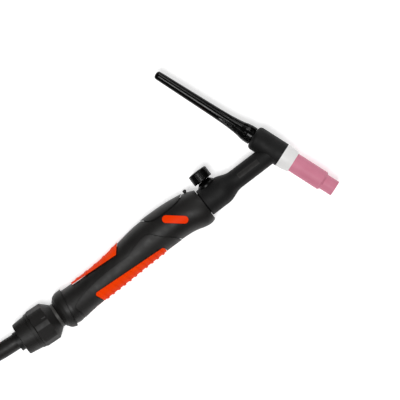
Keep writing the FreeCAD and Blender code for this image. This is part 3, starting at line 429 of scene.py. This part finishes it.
def neck_pad():
    """The blank raised pad on the neck, with a fine cross ribbing."""
    form = bmesh.new()
    along = Vector((math.cos(NECK_ANGLE), math.sin(NECK_ANGLE), 0))
    across = Vector((-math.sin(NECK_ANGLE), math.cos(NECK_ANGLE), 0))
    grid = []
    for i in range(PAD_COLUMNS + 1):
        length = PAD_ENDS[0] + (PAD_ENDS[1] - PAD_ENDS[0]) * i / PAD_COLUMNS
        line = []
        for j in range(PAD_ROWS + 1):
            side = PAD_SIDES[0] + (PAD_SIDES[1] - PAD_SIDES[0]) * j / PAD_ROWS
            inside = 1 < i < PAD_COLUMNS - 1 and 0 < j < PAD_ROWS
            reach = NECK_R + PAD_RISE - (PAD_RIB_DEPTH if inside and i % 4 < 2 else 0.0)
            height = math.sqrt(reach**2 - side**2)
            place = along * length + across * side + Vector((0, 0, height))
            line.append(form.verts.new(head_origin + place * MM))
        grid.append(line)
    faces = []
    for near, far in zip(grid, grid[1:]):
        for j in range(PAD_ROWS):
            faces.append(form.faces.new((near[j], far[j], far[j + 1], near[j + 1])))
    skirt = bmesh.ops.extrude_face_region(form, geom=faces)
    moved = [item for item in skirt["geom"] if isinstance(item, bmesh.types.BMVert)]
    bmesh.ops.translate(form, verts=moved, vec=(0, 0, -PAD_THICK * MM))
    return form


# The pad wears the paler panel_plastic, whose extra lightness is painted light.
mesh_piece("neck_pad", neck_pad(), panel_plastic, "handle", "panel_plastic")

# --- Cable ---------------------------------------------------------------------------

CABLE_R = 7.25
LEAD = [
    (-38.0, 1.0, 17.9), (-54.0, 1.0, 17.9), (-73.0, 1.9, 15.3), (-92.0, 4.9, 9.6),
    (-110.0, 7.1, 7.3),
]
TAIL = [
    (-107.9, 40.9, 36.3), (-135.9, 38.2, 39.0), (-162.4, 47.7, 45.5), (-182.3, 67.6, 52.5),
    (-191.8, 94.1, 57.0), (-189.1, 122.1, 58.2),
]
COIL_X, COIL_Y = -127.8, 102.2
LAYER_Z = (7.3, 21.8, 36.3)
OUTER_R, INNER_R = 94.95, 64.5
LAYER_TURNS, CLIMB_TURNS, STEPS_A_TURN = 2.1, 0.35, 16
TOTAL_TURNS = len(LAYER_Z) * LAYER_TURNS + (len(LAYER_Z) - 1) * CLIMB_TURNS


def coil_point(turns):
    """A point of the coil, whose three layers wind in, out and in again."""
    layer, rest = divmod(turns, LAYER_TURNS + CLIMB_TURNS)
    layer = int(layer)
    share = min(rest / LAYER_TURNS, 1.0)
    inwards = layer % 2 == 0
    start, end = (OUTER_R, INNER_R) if inwards else (INNER_R, OUTER_R)
    radius = start + (end - start) * share
    height = LAYER_Z[layer]
    if rest > LAYER_TURNS:
        climb = (rest - LAYER_TURNS) / CLIMB_TURNS
        height += (LAYER_Z[layer + 1] - height) * ease(climb)
    angle = -math.pi / 2 - 2 * math.pi * turns
    return COIL_X + radius * math.cos(angle), COIL_Y + radius * math.sin(angle), height


def wound_cable():
    """One smooth cable: the lead from the torch, the coil's turns and the tail to the plug."""
    steps = int(TOTAL_TURNS * STEPS_A_TURN) - 1
    winding = [coil_point(step / STEPS_A_TURN) for step in range(steps)]
    points = [spot(*p) for p in LEAD + winding + TAIL]
    line = bpy.data.curves.new("cable", "CURVE")
    line.dimensions = "3D"
    route = line.splines.new("NURBS")
    route.points.add(len(points) - 1)
    for target, point in zip(route.points, points):
        target.co = (*point, 1.0)
    route.order_u = 3
    route.use_endpoint_u = True
    route.resolution_u = 6
    line.bevel_depth = CABLE_R * MM
    line.bevel_resolution = 7
    line.use_fill_caps = True
    piece = bpy.data.objects.new("cable", line)
    bpy.context.scene.collection.objects.link(piece)
    dress(piece, cable_rubber)
    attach(piece, "hose")
    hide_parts("cable_lead", "cable_tail", "cable_coil")
    return piece


cable = wound_cable()

# --- Plug and tie --------------------------------------------------------------------

PLUG_ANGLE = math.radians(84.6)
PLUG_GRIP, PLUG_GROOVES, PLUG_GROOVE_DEPTH = (21, 55), 14, 1.1
BOOT_RINGS, RING_PITCH, RING_DEPTH, BOOT_TAPER = 4, 3.0, 0.9, 0.35


def plug_relief(length, radius, turn):
    """Finger grooves along the widest part of the plug's sleeve."""
    if radius < 13:
        return 0.0
    ends = ease((length - PLUG_GRIP[0]) / 3) * ease((PLUG_GRIP[1] - length) / 3)
    return PLUG_GROOVE_DEPTH * ends * groove(off_line(turn, 0, PLUG_GROOVES), 4.5, 5)


plug_outline = [(0.2, 0), (0.2, 9.2), (0.6, 9.6)]
for ring in range(BOOT_RINGS):
    start = 1.6 + RING_PITCH * ring
    rise = 9.7 + BOOT_TAPER * ring
    plug_outline += [
        (start, rise), (start + 0.4, rise - RING_DEPTH),
        (start + 1.4, rise - RING_DEPTH + 0.1), (start + 1.8, rise + 0.2),
    ]
plug_outline += [
    (14, 11), (15, 11.6), (17, 13.8), (18.2, 14.4), (19.5, 14.5), (57, 14.5), (58.4, 14.35),
    (61.2, 13.6), (62, 13.1), (62, 9), (22, 9), (22, 0),
]
plug_sleeve = mesh_piece(
    "plug_boot",
    lathe(between(plug_outline, 1.5), spot(*TAIL[-1]), PLUG_ANGLE, 168, plug_relief),
    seal_rubber, "hose", "seal_rubber", "plug_sleeve",
)

# The strap's inner faces, just clear of the coil's turns.
STRAP_INNER, STRAP_OUTER, STRAP_TOP, STRAP_FLOOR = COIL_Y + 57.1, COIL_Y + 102.3, 43.65, 0.1
STRAP_HALF, STRAP_THICK, STRAP_BEND = 8.8, 1.3, 6.5
LAP_START, LAP_RUN, LAP_CLEAR = 2, 3, 0.1
ARC_STEPS, LAP_STEPS = 8, 6


def arc(y, z, first, last, reach, steps, count):
    """Part of an arc from one angle towards another: its centre, outward direction and reach."""
    stations = []
    for step in range(count):
        angle = math.radians(first + (last - first) * step / steps)
        stations.append((y, z, math.cos(angle), math.sin(angle), reach))
    return stations


def strap_path():
    """The strap's inner line: round the turns, then over its own start."""
    right, left = STRAP_OUTER - STRAP_BEND, STRAP_INNER + STRAP_BEND
    high, low = STRAP_TOP - STRAP_BEND, STRAP_FLOOR + STRAP_BEND + STRAP_THICK
    path = []
    for y, z, first in ((right, high, 90), (right, low, 0), (left, low, -90), (left, high, 180)):
        path += arc(y, z, first, first - 90, STRAP_BEND, ARC_STEPS, ARC_STEPS + 1)
    path.append((right - LAP_START, high, 0.0, 1.0, STRAP_BEND + LAP_CLEAR))
    for share, lift in ((0.0, 0.2), (0.3, 0.9), (0.6, 1.0), (1.0, 1.0)):
        reach = STRAP_BEND + STRAP_THICK * lift + LAP_CLEAR / 2
        path.append((right - LAP_START + LAP_RUN * share, high, 0.0, 1.0, reach))
    over = arc(right, high, 90, 0, STRAP_BEND + STRAP_THICK + LAP_CLEAR, ARC_STEPS, LAP_STEPS + 1)
    return path + over[1:]


def soften(piece, width, segments):
    """Rounds a piece's edges by that many millimetres."""
    edge = piece.modifiers.new("edges", "BEVEL")
    edge.width = width * MM
    edge.segments = segments
    edge.limit_method = "ANGLE"
    edge.angle_limit = math.radians(40)
    edge.harden_normals = True


def strap():
    """A hook-and-loop strap round the coil's turns, its loose end lapped over the top."""
    form = bmesh.new()
    rows = []
    section = ((-STRAP_HALF, 0), (STRAP_HALF, 0), (STRAP_HALF, STRAP_THICK), (-STRAP_HALF, STRAP_THICK))
    for y, z, out_y, out_z, reach in strap_path():
        row = []
        for x, lift in section:
            away = reach + lift
            row.append(form.verts.new(spot(COIL_X + x, y + out_y * away, z + out_z * away)))
        rows.append(row)
    for near, far in zip(rows, rows[1:]):
        for i in range(4):
            form.faces.new((near[i], near[(i + 1) % 4], far[(i + 1) % 4], far[i]))
    form.faces.new(rows[0])
    form.faces.new(rows[-1])
    piece = mesh_piece("hook_loop_strap", form, strap_fabric, "hose", "strap_fabric", "coil_tie")
    soften(piece, 0.4, 3)
    return piece


coil_strap = strap()

# --- Studio --------------------------------------------------------------------------

WORLD_LIGHT, FLOOR_GLOW = 0.1, 0.5


def studio():
    """A plain pale floor with soft light from above and from the sides."""
    bpy.ops.mesh.primitive_plane_add(size=16, location=(0, 0, 0))
    floor = bpy.context.object
    floor.name = "floor"
    made = Finish("floor", 0.9, 0.1)
    made.colours(made.noise(3), (0.93, 0.93, 0.93, 1), (0.95, 0.95, 0.95, 1))
    made.shader.inputs["Emission Color"].default_value = (1, 1, 1, 1)
    made.shader.inputs["Emission Strength"].default_value = FLOOR_GLOW
    dress(floor, made.material)

    world = bpy.data.worlds.new("world")
    bpy.context.scene.world = world
    world.use_nodes = True
    world.node_tree.nodes["Background"].inputs["Color"].default_value = (1, 1, 1, 1)
    world.node_tree.nodes["Background"].inputs["Strength"].default_value = WORLD_LIGHT

    def lamp(name, size, place, power):
        light = bpy.data.lights.new(name, "AREA")
        light.shape = "RECTANGLE"
        light.size, light.size_y = size
        light.energy = power
        holder = bpy.data.objects.new(name, light)
        bpy.context.scene.collection.objects.link(holder)
        holder.location = place
        holder.rotation_euler = (-Vector(place)).to_track_quat("-Z", "Y").to_euler()

    lamp("overhead", (0.7, 0.7), (-0.35, -0.3, 1.7), 22)
    lamp("side", (0.4, 1.4), (1.2, 0.9, 1.1), 10)
    bpy.context.scene.view_settings.view_transform = "Standard"


studio()
